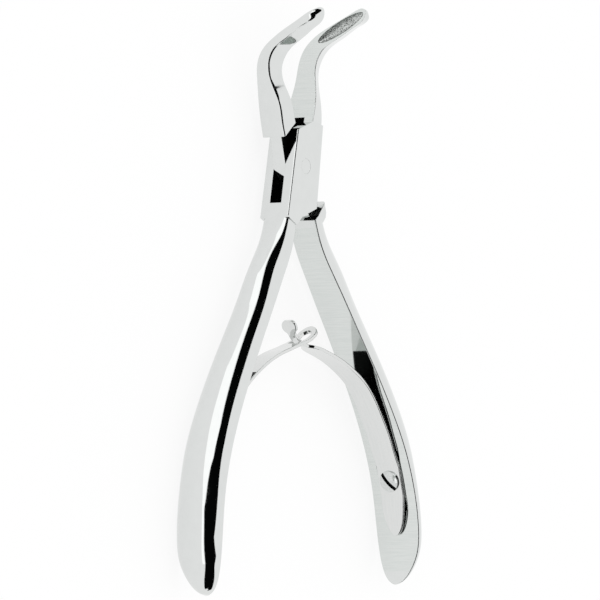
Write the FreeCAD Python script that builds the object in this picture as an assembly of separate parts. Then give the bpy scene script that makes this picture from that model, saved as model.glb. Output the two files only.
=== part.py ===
import FreeCAD, Part
import math
import os
from FreeCAD import Vector

# A spring-handled bone cutter with a box lock and forward-bent spoon jaws.
# It lies on its back: X runs along the tool toward the jaws, Y runs across it, Z is up.
# The origin is on the pivot axis, in the plane of the box's flat back face.
# Both halves are drawn closed, with their meeting plane at Y = 0, and then opened.
# Millimetres and degrees.

# opening
full_opening = 26.0
meeting_gap = 0.03

# box lock
box_thickness = 9.2
box_left = 5.2
box_right_top = 6.1
box_right_bottom = 7.3
cheek_thickness = 2.8
lock_clearance = 0.05
shoulder_gap = 0.55
cheek_top = 8.5
cheek_slope = 31.0
cheek_foot = -9.4
cheek_end_inner = 0.9
slot_end = 10.8
slot_wall_slope = 42.0
slot_jaw_wall_slope = 64.0
corner_round = 0.85
root_step = 0.2
root_shoulder = 2.0
root_shoulder_slant = 0.8
root_shoulder_drop = 0.3
neck_half_width = 5.6
neck_apex = 0.9
neck_front_half_width = 4.85
neck_foot_slope = 25.0
neck_foot_run = 16.6
neck_jaw_run = 15.2
# the neck's ends: past the cheeks' top or foot, and in from the box's left side
neck_jaw_end = (4.0, 1.2)
neck_jaw_side = (0.2, 0.5)
neck_handle_end = (7.0, 0.0)
neck_handle_side = (0.2, 0.3)
pin_radius = 2.0
pin_clearance = 0.03
# relief of the front cheek's inner edge: start and finish along the box, skin left, depth
flare_start = -0.3
flare_finish = 5.5
flare_skin = 0.35
flare_depth = 1.5

# jaws: the root of each half, then sections along the bend, heights from the middle of the box
box_jaw_root_half = 4.55
box_jaw_root_outer = 6.1
cross_jaw_root_half = 4.1
cross_jaw_root_outer = 5.3
jaw_root_places = (1.0, 5.0, 9.0, 13.0)
jaw_root_inner = 0.2
jaw_root_least_lean = 0.27
jaw_root_lean = 0.9
jaw_root_swell = 0.15
jaw_root_skew = 0.4
jaw_root_start = 3.0
jaw_back_lean = 0.15
jaw_round = 0.9
jaw_least_round = 0.3
jaw_edge_round = 0.25
# back edge x, z; front edge x, z; set-back of the inner face; outer face; front facet's lean
jaw_stations = [
    (19.4, -3.7, 18.4, 4.4, 1.4, 5.35, 1.1),
    (24.2, -3.2, 23.2, 3.4, 1.8, 5.35, 1.5),
    (28.6, -2.4, 26.8, 3.35, 1.3, 5.3, 1.8),
    (32.3, -0.2, 29.6, 4.60, 0.5, 5.2, 2.1),
    (35.1, 3.4, 31.7, 6.70, -0.1, 5.0, 2.1),
    (37.7, 8.1, 34.0, 10.8, -0.3, 4.7, 2.0),
    (40.0, 12.8, 36.3, 14.7, -0.3, 4.3, 1.9),
    (41.5, 16.0, 38.1, 17.4, -0.3, 3.6, 1.3),
    (42.0, 17.9, 40.0, 18.7, -0.3, 2.2, 0.5),
]
cup_start = (33.3, 4.1)
cup_finish = (40.4, 17.6)
cup_half_width = 1.75
cup_depth = 1.7

# handles: place along the tool, inner face's distance from the meeting plane, thickness, width,
# and squareness, which is 2 for a half ellipse and more toward a square
handle_stations = [
    (-11.0, 0.8, 4.2, 8.6, 5.0),
    (-15.0, 0.9, 4.3, 8.6, 4.0),
    (-19.0, 1.1, 5.4, 8.8, 2.8),
    (-24.0, 2.1, 6.8, 9.1, 2.2),
    (-30.0, 4.2, 7.4, 9.6, 2.1),
    (-38.0, 7.2, 6.9, 10.3, 2.1),
    (-48.0, 10.9, 7.0, 10.9, 2.1),
    (-58.0, 14.5, 7.2, 11.7, 2.1),
    (-69.0, 18.0, 7.2, 12.5, 2.1),
    (-80.0, 20.6, 6.7, 13.3, 2.1),
    (-91.0, 21.6, 5.5, 13.8, 2.1),
    (-103.0, 20.7, 5.0, 13.8, 2.1),
]
handle_end_length = 13.6
handle_end_inner = 15.9
handle_end_thickness = 3.6
handle_end_turns = (25, 45, 62, 76, 85)
handle_end_curve = 1.6
handle_end_least = 0.35
handle_root_end = 2.6
cross_root_half = 4.5
cross_root_outer = 6.3
cross_root_length = 2.0
cross_root_overlap = 2.0
cross_root_foot = 1.2
# the root's end is cut back at its front and back: along the handle, and in from the face
cross_root_taper = (3.0, 2.5)
cross_shoulder_turn = 4.0

# leaf springs
leaf_thickness = 0.9
leaf_width = 7.2
leaf_tip_width = 6.0
leaf_foot_length = 14.6
leaf_foot_places = (1.0, 0.72, 0.4)
leaf_gap = 0.2
leaf_lift_places = (-81.5, -77.5)
seat_place = -89.7
seat_offset = 21.6
seat_half_length = 4.0
seat_run_out = 4.2
seat_margin = 0.4
seat_height = 4.0
hook_neck_width = 2.3
hook_head_width = 4.6
hook_head_length = 3.3
hook_shoulder_start = -2.6
hook_neck_start = 1.4
eye_hole_width = 3.3
eye_hole_start = 3.6
eye_hole_margin = 1.7
eye_end_width = 6.4
eye_end_length = 4.0
eye_end_least = 0.3

# leaf screws
screw_radius = 1.5
screw_length = 3.4
screw_hole_clearance = 0.1
screw_head_radius = 2.85
screw_head_height = 1.1
screw_dome_height = 0.6
screw_dome_shoulder = (0.72, 0.62)
screw_slot_width = 1.0
screw_slot_depth = 0.7
screw_slot_turn = 40.0

middle = box_thickness / 2
slot_half = middle - cheek_thickness
half_opening = full_opening / 2
foot_reach = leaf_foot_length - seat_half_length
# reach of the cutting blocks: past the whole tool, and past one strip
far = 400.0
near = 20.0


def slope_point(start, angle, run):
    return (start[0] + run * math.cos(math.radians(angle)), start[1] + run * math.sin(math.radians(angle)))


def opened(point, angle):
    turn = math.radians(angle)
    x, y = point
    return (x * math.cos(turn) - y * math.sin(turn), x * math.sin(turn) + y * math.cos(turn))


def prism(outline, low, high):
    corners = [Vector(x, y, low) for x, y in outline]
    face = Part.Face(Part.makePolygon(corners + corners[:1]))
    return face.extrude(Vector(0, 0, high - low))


def mirrored(shape):
    return shape.mirror(Vector(0, 0, 0), Vector(0, 1, 0))


def smooth_edge(points, parameters=None):
    curve = Part.BSplineCurve()
    if parameters:
        curve.interpolate(Points=points, Parameters=parameters)
    else:
        curve.interpolate(points)
    return curve.toShape()


def one_solid(shape):
    solids = sorted(shape.removeSplitter().Solids, key=lambda solid: solid.Volume)
    return solids[-1]


# Handle: flat inside, round outside, square at its root, with a half-elliptic far end


def handle_section(x, inner, thickness, width, squareness):
    outer = []
    parameters = []
    for step in range(13):
        turn = math.radians(90 - 15 * step)
        across = abs(math.sin(turn)) ** (2 / squareness) * math.copysign(1, math.sin(turn))
        depth = abs(math.cos(turn)) ** (2 / squareness)
        outer.append(Vector(x, -inner - thickness * depth, middle + across * width / 2))
        parameters.append(step / 12)
    return Part.Wire([smooth_edge(outer, parameters), Part.makeLine(outer[-1], outer[0])])


def end_stations():
    last_x, last_inner, last_thickness, last_width, squareness = handle_stations[-1]
    stations = []
    for turn in handle_end_turns:
        along = math.sin(math.radians(turn))
        left = math.cos(math.radians(turn))
        inner = last_inner + (handle_end_inner - last_inner) * along ** handle_end_curve
        thin = handle_end_thickness + (last_thickness - handle_end_thickness) * left
        thickness = thin * (handle_end_least + (1 - handle_end_least) * left ** 0.5)
        place = last_x - handle_end_length * along
        stations.append((place, inner, thickness, last_width * left, squareness))
    return stations


def handle_blank():
    sections = [handle_section(*station) for station in handle_stations + end_stations()]
    return Part.makeLoft(sections, True, False)


# Jaw: flat inside, tapering along the tool, then bent forward, with a spoon at its end


def jaw_section(station):
    back_x, back_z, front_x, front_z, inner, outer, lean = station
    back = Vector(back_x, 0, middle + back_z)
    front = Vector(front_x, 0, middle + front_z)
    width = (front - back).Length
    rise = (front - back).normalize()
    round_outer = min(jaw_round, jaw_least_round + lean / 2, (outer - inner) / 3, (width - lean) / 3)
    corners = [(0.0, inner), (width, inner), (width - lean, outer), (jaw_back_lean * lean, outer)]
    corners = [Vector(along, deep, 0) for along, deep in corners]
    rounds = [jaw_edge_round, jaw_edge_round, round_outer, round_outer]
    bends = []
    for number, corner in enumerate(corners):
        before = (corners[number - 1] - corner).normalize()
        after = (corners[(number + 1) % 4] - corner).normalize()
        half_angle = before.getAngle(after) / 2
        cut = rounds[number] / math.tan(half_angle)
        toward = (before + after).normalize()
        nearest = rounds[number] / math.sin(half_angle) - rounds[number]
        bends.append([corner + before * cut, corner + toward * nearest, corner + after * cut])
    bends = [[back + rise * spot.x + Vector(0, spot.y, 0) for spot in bend] for bend in bends]
    edges = []
    for number, bend in enumerate(bends):
        edges.append(Part.Arc(*bend).toShape())
        edges.append(Part.makeLine(bend[2], bends[(number + 1) % 4][0]))
    return Part.Wire(edges)


def jaw_blank(root_half, root_outer):
    first_inner = jaw_stations[0][4]
    stations = []
    for place in jaw_root_places:
        share = place / jaw_root_places[-1]
        inner = jaw_root_inner + (first_inner - jaw_root_inner) * share ** 2 / 2
        height = root_half + jaw_root_swell * share
        lean = jaw_root_least_lean + (jaw_root_lean - jaw_root_least_lean) * share
        back = place + jaw_root_skew * share
        stations.append((back, -root_half, place, height, inner, root_outer, lean))
    sections = [jaw_section(station) for station in stations + jaw_stations]
    blank = Part.makeLoft(sections, True, False)
    meeting_side = Part.makeBox(far, far, far, Vector(-far / 2, meeting_gap, -far / 2))
    return blank.common(meeting_side).cut(cup_tool())


def cup_tool():
    start = Vector(cup_start[0], 0, middle + cup_start[1])
    finish = Vector(cup_finish[0], 0, middle + cup_finish[1])
    along = finish - start
    stretch = FreeCAD.Matrix()
    stretch.scale(cup_half_width, cup_depth, along.Length / 2)
    tool = Part.makeSphere(1.0).transformGeometry(stretch)
    tool.rotate(Vector(0, 0, 0), Vector(0, 1, 0), math.degrees(math.atan2(along.x, along.z)))
    tool.translate((start + finish) / 2 + Vector(0, meeting_gap, 0))
    return tool


# Box lock: two cheeks of the box half close over the neck of the cross half


def cheek_corners():
    slant = math.cos(math.radians(cheek_slope))
    top_left = (cheek_top, box_left)
    top_inner = slope_point(top_left, cheek_slope - 90, (box_left + cheek_end_inner) / slant)
    bottom_right = (cheek_foot, -box_right_bottom)
    bottom_inner = slope_point(bottom_right, cheek_slope + 90, (box_right_bottom - cheek_end_inner) / slant)
    return top_left, top_inner, bottom_right, bottom_inner


def root_end():
    return cheek_corners()[3][0] - handle_root_end


def box_blank():
    top_left, top_inner, bottom_right, bottom_inner = cheek_corners()
    root_inner = handle_stations[0][1]
    outline = [
        top_left,
        top_inner,
        (top_inner[0], -box_right_top),
        bottom_right,
        bottom_inner,
        (root_end(), root_inner + root_step),
        (root_end() + root_shoulder - root_shoulder_slant, box_left - root_shoulder_drop),
        (root_end() + root_shoulder, box_left),
    ]
    block = prism(outline, 0, box_thickness)
    outside = []
    for edge in block.Edges:
        box = edge.BoundBox
        if box.ZLength < 1e-6 and (box.YMax < -box_right_top + 0.1 or box.YMin > box_left - 0.1):
            outside.append(edge)
    return block.makeFillet(corner_round, outside)


def slot_tool():
    left_in = slope_point((-slot_end, box_left), 180 + slot_wall_slope, far / 20)
    right_in = slope_point((slot_end, -box_right_top), slot_jaw_wall_slope, far / 20)
    outline = [
        (-slot_end, far / 10),
        (-slot_end, box_left),
        left_in,
        (left_in[0], -far / 10),
        (slot_end, -far / 10),
        (slot_end, -box_right_top),
        right_in,
        (right_in[0], far / 10),
    ]
    return prism(outline, middle - slot_half, middle + slot_half)


def pin_solid():
    return Part.makeCylinder(pin_radius, box_thickness, Vector(0, 0, 0))


def box_half_solid():
    handle = mirrored(handle_blank())
    jaw = mirrored(jaw_blank(box_jaw_root_half, box_jaw_root_outer))
    jaw = jaw.cut(prism(box_side_of_top(), -far, far))
    body = box_blank().fuse(handle).fuse(jaw).cut(slot_tool()).cut(pin_solid()).cut(flare_tool())
    return one_solid(body.cut(mirrored(seat_tool())))


def box_side_of_top():
    # the jaw's root starts a little below the cheeks' top
    start = cheek_corners()[1][0] - jaw_root_start
    return [(start, -far), (start, far), (start - far, far), (start - far, -far)]


def flare_tool():
    # the relief of the front cheek's inner edge, drawn on the box's left side
    wall = middle + slot_half
    front = box_thickness - flare_skin
    beyond = 2 * cheek_top
    slope = [(flare_start, wall), (flare_finish, front)]
    outline = slope + [(beyond, front), (beyond, middle), (flare_start, middle)]
    corners = [Vector(x, box_left - flare_depth, height) for x, height in outline]
    return Part.Face(Part.makePolygon(corners + corners[:1])).extrude(Vector(0, box_left, 0))


def neck_outline(half_width, level):
    left = (neck_apex, half_width)
    right = (-neck_apex, -neck_half_width)
    outline = [
        (cheek_top + neck_jaw_end[0], box_left - neck_jaw_end[1]),
        (cheek_top + neck_jaw_side[0], box_left - neck_jaw_side[1]),
        left,
        slope_point(left, 180 + neck_foot_slope, neck_foot_run),
        (-cheek_top - neck_handle_end[0], -box_left + neck_handle_end[1]),
        (-cheek_top - neck_handle_side[0], -box_left + neck_handle_side[1]),
        right,
        slope_point(right, neck_foot_slope, neck_jaw_run),
    ]
    corners = [Vector(x, y, level) for x, y in outline]
    return Part.makePolygon(corners + corners[:1])


def neck_solid():
    # the neck's left corner leans inward toward the front cheek
    half = slot_half - lock_clearance
    back = neck_outline(neck_half_width, middle - half)
    front = neck_outline(neck_front_half_width, middle + half)
    neck = Part.makeLoft([back, front], True, True)
    return neck.cut(Part.makeCylinder(pin_radius + pin_clearance, box_thickness, Vector(0, 0, 0)))


def shoulder_tool(corner, facing):
    # everything on the box's side of a shoulder that runs beside a cheek's end
    out = slope_point(corner, facing, shoulder_gap)
    one = slope_point(out, facing + 90, far / 4)
    other = slope_point(out, facing - 90, far / 4)
    back = [slope_point(end, facing + 180, far / 8) for end in (other, one)]
    return prism([one, other] + back, -far, far)


def cross_root():
    bottom_right, bottom_inner = cheek_corners()[2:]
    inner = handle_stations[0][1]
    back, inset = cross_root_taper
    levels = [(-cross_root_half, back), (inset - cross_root_half, 0)]
    levels += [(-height, shift) for height, shift in levels[::-1]]
    wires = []
    for height, shift in levels:
        foot = root_end() - cross_root_length + shift
        outline = [
            (bottom_right[0] + cross_root_overlap, -cross_root_outer + cross_root_foot / 2),
            (bottom_inner[0] + cross_root_overlap, -inner),
            (foot + cross_root_foot, -inner - root_step),
            (foot, -cross_root_outer + cross_root_foot),
            (foot + 2 * cross_root_foot, -cross_root_outer),
            (bottom_right[0], -cross_root_outer),
        ]
        corners = [Vector(x, y, middle + height) for x, y in outline]
        wires.append(Part.makePolygon(corners + corners[:1]))
    return Part.makeLoft(wires, True, True)


def cross_half_solid():
    top_left, _, bottom_right, _ = cheek_corners()
    jaw = jaw_blank(cross_jaw_root_half, cross_jaw_root_outer).cut(shoulder_tool(top_left, cheek_slope))
    lower_shoulder = shoulder_tool(bottom_right, 180 + cheek_slope + cross_shoulder_turn)
    handle = handle_blank().fuse(cross_root()).cut(lower_shoulder)
    body = neck_solid().fuse(jaw).fuse(handle)
    return one_solid(body.cut(seat_tool()))


# Leaf springs: a foot seated on the handle, then a long bow to the crossing


def seat_tool():
    # the flat seat and the screw's hole, on the cross half's handle
    long = seat_half_length + seat_run_out
    wide = leaf_width / 2 + seat_margin
    corner = Vector(seat_place - long, -seat_offset, middle - wide)
    seat = Part.makeBox(2 * long, seat_height, 2 * wide, corner)
    mouth = Vector(seat_place, -seat_offset, middle)
    return seat.fuse(Part.makeCylinder(screw_radius, screw_length, mouth, Vector(0, -1, 0)))


def inner_face_at(x):
    # the handle's inner face's distance from the meeting plane
    for one, other in zip(handle_stations, handle_stations[1:]):
        if other[0] <= x <= one[0]:
            share = (x - one[0]) / (other[0] - one[0])
            return one[1] + share * (other[1] - one[1])
    beyond = (handle_stations[-1][0] - x) / handle_end_length
    return handle_stations[-1][1] + (handle_end_inner - handle_stations[-1][1]) * beyond ** handle_end_curve


# the bow's middle line and each leaf's tail, where they lie when the tool is open
bow = [(-67.5, -34.2), (-61.8, -30.7), (-57.2, -26.8), (-53.9, -22.2), (-50.6, -16.0), (-48.4, -10.0)]
hook_tail = [(-47.0, -5.4), (-45.9, -1.6), (-44.3, 0.9), (-42.2, 2.4), (-39.9, 3.3)]
eye_tail = [(-47.3, -5.6), (-46.0, -0.6), (-44.6, 3.6), (-41.8, 7.2)]


def leaf_side(tail, offset):
    # one face of the strip, at an offset from its middle line
    foot_places = [seat_place - seat_half_length - foot_reach * share for share in leaf_foot_places]
    foot, lift = [
        [Vector(x, -inner_face_at(x) + leaf_gap + leaf_thickness / 2, 0) for x in places]
        for places in (foot_places, leaf_lift_places)
    ]
    rest = -seat_offset + leaf_thickness / 2
    seat = [Vector(seat_place - seat_half_length, rest, 0), Vector(seat_place + seat_half_length, rest, 0)]
    free = lift + [Vector(*opened(point, -half_opening), 0) for point in bow + tail]
    flat = Vector(1, 0, 0)
    pieces = []
    for points, start, finish in ((foot + seat[:1], None, flat), (seat[1:] + free, flat, None)):
        curve = Part.BSplineCurve()
        curve.interpolate(points)
        count = 6 * (len(points) - 1)
        spots = []
        for step in range(count + 1):
            at = curve.FirstParameter + (curve.LastParameter - curve.FirstParameter) * step / count
            heading = curve.tangent(at)[0]
            if step == count and finish:
                heading = finish
            if step == 0 and start:
                heading = start
            spots.append(curve.value(at) + Vector(-heading.y, heading.x, 0) * offset)
        pieces.append(smooth_edge(spots))
    line = Part.makeLine(pieces[0].Vertexes[-1].Point, pieces[1].Vertexes[0].Point)
    return [pieces[0], line, pieces[1]]


def leaf_strip(tail):
    left = leaf_side(tail, leaf_thickness / 2)
    right = leaf_side(tail, -leaf_thickness / 2)
    tip = Part.makeLine(left[-1].Vertexes[-1].Point, right[-1].Vertexes[-1].Point)
    root = Part.makeLine(left[0].Vertexes[0].Point, right[0].Vertexes[0].Point)
    face = Part.Face(Part.Wire(Part.__sortEdges__(left + right + [tip, root])))
    face.translate(Vector(0, 0, middle - leaf_width / 2))
    return face.extrude(Vector(0, 0, leaf_width))


def side_tool(start, heading, outline):
    # a block through the strip: the outline's points are a run along the heading and a height
    along = Vector(math.cos(math.radians(heading)), math.sin(math.radians(heading)), 0)
    across = Vector(-along.y, along.x, 0)
    base = Vector(start[0], start[1], middle)
    corners = [base + along * run + Vector(0, 0, height) - across * near for run, height in outline]
    return Part.Face(Part.makePolygon(corners + corners[:1])).extrude(across * 2 * near)


def both_sides(tool):
    return [tool, tool.mirror(Vector(0, 0, middle), Vector(0, 0, 1))]


def rounded_end(half, length):
    # the waste above a half-elliptic end, which starts at 0 and reaches the length
    points = []
    for step in range(9):
        turn = math.radians(90 * step / 8)
        points.append((length * math.sin(turn), half * math.cos(turn)))
    points += [(length + half, 0), (length + half, 2 * half), (0, 2 * half)]
    return points


def foot_tools():
    start = (seat_place - seat_half_length, -seat_offset)
    return both_sides(side_tool(start, 180, rounded_end(leaf_width / 2, foot_reach)))


def taper_tools():
    start = opened(bow[0], -half_opening)
    finish = opened(bow[-1], -half_opening)
    heading = math.degrees(math.atan2(finish[1] - start[1], finish[0] - start[0]))
    reach = math.hypot(finish[1] - start[1], finish[0] - start[0])
    full, slim = leaf_width / 2, leaf_tip_width / 2
    return both_sides(side_tool(start, heading, [(0, full), (reach, slim), (reach, full + 1), (0, full + 1)]))


def leaf_hole():
    radius = screw_radius + screw_hole_clearance
    start = Vector(seat_place, -seat_offset - near, middle)
    return Part.makeCylinder(radius, 2 * near, start, Vector(0, 1, 0))


def cut_all(shape, tools):
    for tool in tools:
        shape = shape.cut(tool)
    return one_solid(shape)


def hook_leaf_solid():
    # past the taper the strip narrows to a neck, which ends in a round-cornered head
    strip = leaf_strip(hook_tail)
    slim, neck, head = leaf_tip_width / 2, hook_neck_width / 2, hook_head_width / 2
    tail_start = opened(hook_tail[0], -half_opening)
    tail_end = opened(hook_tail[-1], -half_opening)
    heading = math.degrees(math.atan2(tail_end[1] - tail_start[1], tail_end[0] - tail_start[0]))
    reach = math.hypot(tail_end[1] - tail_start[1], tail_end[0] - tail_start[0])
    before, beyond = hook_shoulder_start - leaf_width / 2, reach + hook_head_length
    sides = [(before, slim), (hook_shoulder_start, slim)]
    for share, half in ((0.35, slim * 0.93), (0.72, slim * 0.72)):
        sides.append((hook_shoulder_start + (hook_neck_start - hook_shoulder_start) * share, half))
    sides += [(hook_neck_start, neck), (reach - hook_head_length, neck)]
    for share, half in ((0.12, 0.80), (0.33, 1.0), (0.64, 1.0), (0.88, 0.86), (1.03, 0.6)):
        sides.append((reach - hook_head_length * (1 - share), head * half))
    sides += [(beyond, head * 0.6), (beyond, leaf_width), (before, leaf_width)]
    tools = foot_tools() + taper_tools() + [leaf_hole()]
    tools += both_sides(side_tool(tail_start, heading, sides))
    return cut_all(strip, tools)


def eye_leaf_solid():
    # past the taper the strip swells to a ring with a long hole
    strip = leaf_strip(eye_tail)
    start = opened(eye_tail[0], -half_opening)
    finish = opened(eye_tail[-1], -half_opening)
    heading = math.degrees(math.atan2(finish[1] - start[1], finish[0] - start[0]))
    reach = math.hypot(finish[1] - start[1], finish[0] - start[0])
    slim, ring, hole = leaf_tip_width / 2, eye_end_width / 2, eye_hole_width / 2
    before, beyond = -leaf_width / 2, reach + eye_end_length
    sides = [(before, slim), (eye_hole_start - hole, slim * 0.9), (eye_hole_start + hole, slim * 0.92)]
    sides.append((reach - 1.25 * eye_end_length, ring))
    for step in range(1, 8):
        turn = math.radians(90 * step / 8)
        sides.append((reach - eye_end_length * (1 - math.sin(turn)), ring * math.cos(turn)))
    sides += [(reach, eye_end_least), (beyond, eye_end_least), (beyond, leaf_width), (before, leaf_width)]
    tools = foot_tools() + taper_tools() + [leaf_hole()] + both_sides(side_tool(start, heading, sides))
    opening = []
    for centre, first_turn in ((reach - eye_hole_margin - hole, -90), (eye_hole_start + hole, 90)):
        for step in range(13):
            turn = math.radians(first_turn + 15 * step)
            opening.append((centre + hole * math.cos(turn), hole * math.sin(turn)))
    tools.append(side_tool(start, heading, opening))
    return mirrored(cut_all(strip, tools))


# Leaf screw: domed slotted head on the leaf, shank in the handle


def screw_solid():
    reach = screw_length + leaf_thickness
    shank = Part.makeCylinder(screw_radius, reach, Vector(0, 0, -reach))
    wall = screw_head_height - screw_dome_height
    out, up = screw_dome_shoulder
    profile = [Vector(0, 0, 0), Vector(screw_head_radius, 0, 0), Vector(screw_head_radius, 0, wall)]
    crown = Vector(0, 0, screw_head_height)
    shoulder = Vector(screw_head_radius * out, 0, wall + screw_dome_height * up)
    edges = [Part.makeLine(profile[0], profile[1]), Part.makeLine(profile[1], profile[2])]
    edges += [Part.Arc(profile[2], shoulder, crown).toShape(), Part.makeLine(crown, profile[0])]
    head = Part.Face(Part.Wire(edges)).revolve(Vector(0, 0, 0), Vector(0, 0, 1), 360)
    floor = screw_head_height - screw_slot_depth
    slot = Part.makeBox(2 * far, screw_slot_width, far, Vector(-far, -screw_slot_width / 2, floor))
    slot.rotate(Vector(0, 0, 0), Vector(0, 0, 1), screw_slot_turn)
    screw = one_solid(head.fuse(shank).cut(slot))
    screw.rotate(Vector(0, 0, 0), Vector(1, 0, 0), -90)
    screw.translate(Vector(seat_place, -seat_offset + leaf_thickness, middle))
    return screw


def eye_screw_solid():
    return mirrored(screw_solid())


# each node's maker, and the side it is opened to
parts = {
    "box_half": (box_half_solid, -1),
    "cross_half": (cross_half_solid, 1),
    "pivot_pin": (pin_solid, -1),
    "eye_leaf": (eye_leaf_solid, -1),
    "hook_leaf": (hook_leaf_solid, 1),
    "eye_leaf_screw": (eye_screw_solid, -1),
    "hook_leaf_screw": (screw_solid, 1),
}

os.makedirs("parts", exist_ok=True)
for name, (make, side) in parts.items():
    shape = make()
    shape.rotate(Vector(0, 0, 0), Vector(0, 0, 1), side * half_opening)
    shape.exportStep("parts/" + name + ".step")
    print(name, round(shape.Volume, 1), shape.isValid(), len(shape.Solids))
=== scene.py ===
import math
import bmesh
import bpy
import numpy as np
from mathutils import Matrix, Vector


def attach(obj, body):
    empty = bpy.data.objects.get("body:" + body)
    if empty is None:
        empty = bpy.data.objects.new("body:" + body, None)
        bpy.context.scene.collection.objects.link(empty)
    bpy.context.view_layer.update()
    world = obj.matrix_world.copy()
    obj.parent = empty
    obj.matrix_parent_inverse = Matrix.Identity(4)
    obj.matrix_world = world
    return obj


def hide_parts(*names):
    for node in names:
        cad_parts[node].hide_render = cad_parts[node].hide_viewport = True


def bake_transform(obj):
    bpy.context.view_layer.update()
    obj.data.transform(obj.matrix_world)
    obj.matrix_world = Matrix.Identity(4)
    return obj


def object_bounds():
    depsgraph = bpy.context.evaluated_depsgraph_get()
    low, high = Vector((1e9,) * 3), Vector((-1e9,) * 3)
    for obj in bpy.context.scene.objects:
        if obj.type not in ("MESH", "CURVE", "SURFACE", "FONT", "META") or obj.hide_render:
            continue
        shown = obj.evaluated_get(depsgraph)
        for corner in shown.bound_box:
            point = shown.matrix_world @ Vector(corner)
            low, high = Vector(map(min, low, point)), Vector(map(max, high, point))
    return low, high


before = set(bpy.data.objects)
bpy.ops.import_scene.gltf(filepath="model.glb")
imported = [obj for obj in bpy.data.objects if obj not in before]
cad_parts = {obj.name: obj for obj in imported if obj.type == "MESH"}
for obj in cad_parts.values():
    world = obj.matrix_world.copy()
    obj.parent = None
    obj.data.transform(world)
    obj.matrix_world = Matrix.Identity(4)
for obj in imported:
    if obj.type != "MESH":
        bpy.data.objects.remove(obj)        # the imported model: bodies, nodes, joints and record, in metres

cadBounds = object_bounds()
mm = 0.001               # the pieces are drawn in millimetres, closed, then opened and scaled
fullOpening = 26.0       # degrees between the closed tool and the photographed one
halfOpening = fullOpening / 2
boxThickness = 9.2
middle = boxThickness / 2
meetingGap = 0.03
farAway = 60.0           # reach of the cutting blocks, beyond every edge that they cut
nearAway = 20.0          # the same for the slot and the eye's hole
tiny = 0.01              # heights closer than this are the same
faceOn = 0.9             # a face looks along an axis when its normal does by more than this


# colours and materials

def linear(code):
    # sRGB hex to linear red, green, blue and alpha
    channels = [int(code[place:place + 2], 16) / 255 for place in (1, 3, 5)]
    return [c / 12.92 if c <= 0.04045 else ((c + 0.055) / 1.055) ** 2.4 for c in channels] + [1.0]


def addNode(tree, kind, settings={}, links={}):
    # one node with its settings and its links: an input is named or numbered
    node = tree.nodes.new("ShaderNode" + kind)
    for key, value in settings.items():
        if isinstance(key, int) or key in node.inputs:
            node.inputs[key].default_value = value
        else:
            setattr(node, key, value)
    for key, source in links.items():
        tree.links.new(source, node.inputs[key])
    return node


def newTree(name):
    material = bpy.data.materials.new(name)
    material.use_nodes = True
    material.node_tree.nodes.clear()
    return material, material.node_tree


def perMillimetre(size):
    # texture scale for a pattern of that size in millimetres
    return 1.0 / (size * mm)


def steelMaterial(name, look):
    # one steel: a colour and gloss that drift with the hand of the polisher, and a relief
    material, tree = newTree(name)
    place = addNode(tree, "TexCoord").outputs["Object"]
    stretch = addNode(tree, "Mapping", {"Scale": look["stretch"]}, {"Vector": place}).outputs[0]
    drift = addNode(tree, "TexNoise", {"Scale": perMillimetre(look["driftSize"]), "Detail": 3.0},
                    {"Vector": place}).outputs["Fac"]
    fine = {"Scale": perMillimetre(look["grainSize"]), "Detail": look["grainDetail"]}
    grain = addNode(tree, "TexNoise", fine, {"Vector": stretch}).outputs["Fac"]
    tone = addNode(tree, "ValToRGB", {}, {"Fac": grain})
    for stop, (at, code) in enumerate(zip(look["toneStops"], look["tones"])):
        tone.color_ramp.elements[stop].position = at
        tone.color_ramp.elements[stop].color = linear(code)
    gloss = addNode(tree, "MapRange", {"From Min": 0.35, "From Max": 0.65, "To Min": look["roughness"][0],
                                       "To Max": look["roughness"][1]}, {"Value": drift})
    edge = addNode(tree, "Bevel", {"Radius": look["edgeBreak"] * mm, "samples": 6})
    wave = addNode(tree, "Bump", {"Strength": 1.0, "Distance": look["waveHeight"] * mm},
                   {"Height": drift, "Normal": edge.outputs[0]})
    relief = addNode(tree, "Bump", {"Strength": 1.0, "Distance": look["grainHeight"] * mm},
                     {"Height": grain, "Normal": wave.outputs[0]})
    inputs = {"Base Color": tone.outputs[0], "Roughness": gloss.outputs[0], "Normal": relief.outputs[0]}
    shader = addNode(tree, "BsdfPrincipled", {"Metallic": 1.0}, inputs)
    addNode(tree, "OutputMaterial", {}, {"Surface": shader.outputs[0]})
    return material


# martensitic stainless steel, forged and then buffed on a mop: a mirror with a faint slow ripple
mirrorBuffedStainless = steelMaterial("mirrorBuffedStainless", {
    "tones": ("#dbdddc", "#dddfde"), "toneStops": (0.3, 0.7), "roughness": (0.03, 0.06),
    "driftSize": 7.0, "waveHeight": 0.006, "grainSize": 2.5, "grainDetail": 2.0, "grainHeight": 0.0,
    "stretch": (1, 1, 1), "edgeBreak": 0.16,
})
# the same steel surface-ground across the tool: satin, with fine lines side to side; real lines
# are about 0.05 mm apart and are drawn 0.3 mm apart so that they show
crossGroundStainless = steelMaterial("crossGroundStainless", {
    "tones": ("#d5d9d7", "#dcdfdd"), "toneStops": (0.3, 0.7), "roughness": (0.07, 0.11),
    "driftSize": 9.0, "waveHeight": 0.006, "grainSize": 0.3, "grainDetail": 2.0, "grainHeight": 0.00015,
    "stretch": (1, 0.04, 0.04), "edgeBreak": 0.16,
})
# the cups, milled and then roughened with a burr so that bone doesn't slip: dull, speckled and
# pitted; the real 0.15 mm grit is drawn at 0.3 mm
burredCupStainless = steelMaterial("burredCupStainless", {
    "tones": ("#4a4e4c", "#d8dbd9"), "toneStops": (0.34, 0.5), "roughness": (0.3, 0.48),
    "driftSize": 1.6, "waveHeight": 0.05, "grainSize": 0.32, "grainDetail": 4.0, "grainHeight": 0.05,
    "stretch": (1, 1, 1), "edgeBreak": 0.1,
})
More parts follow.
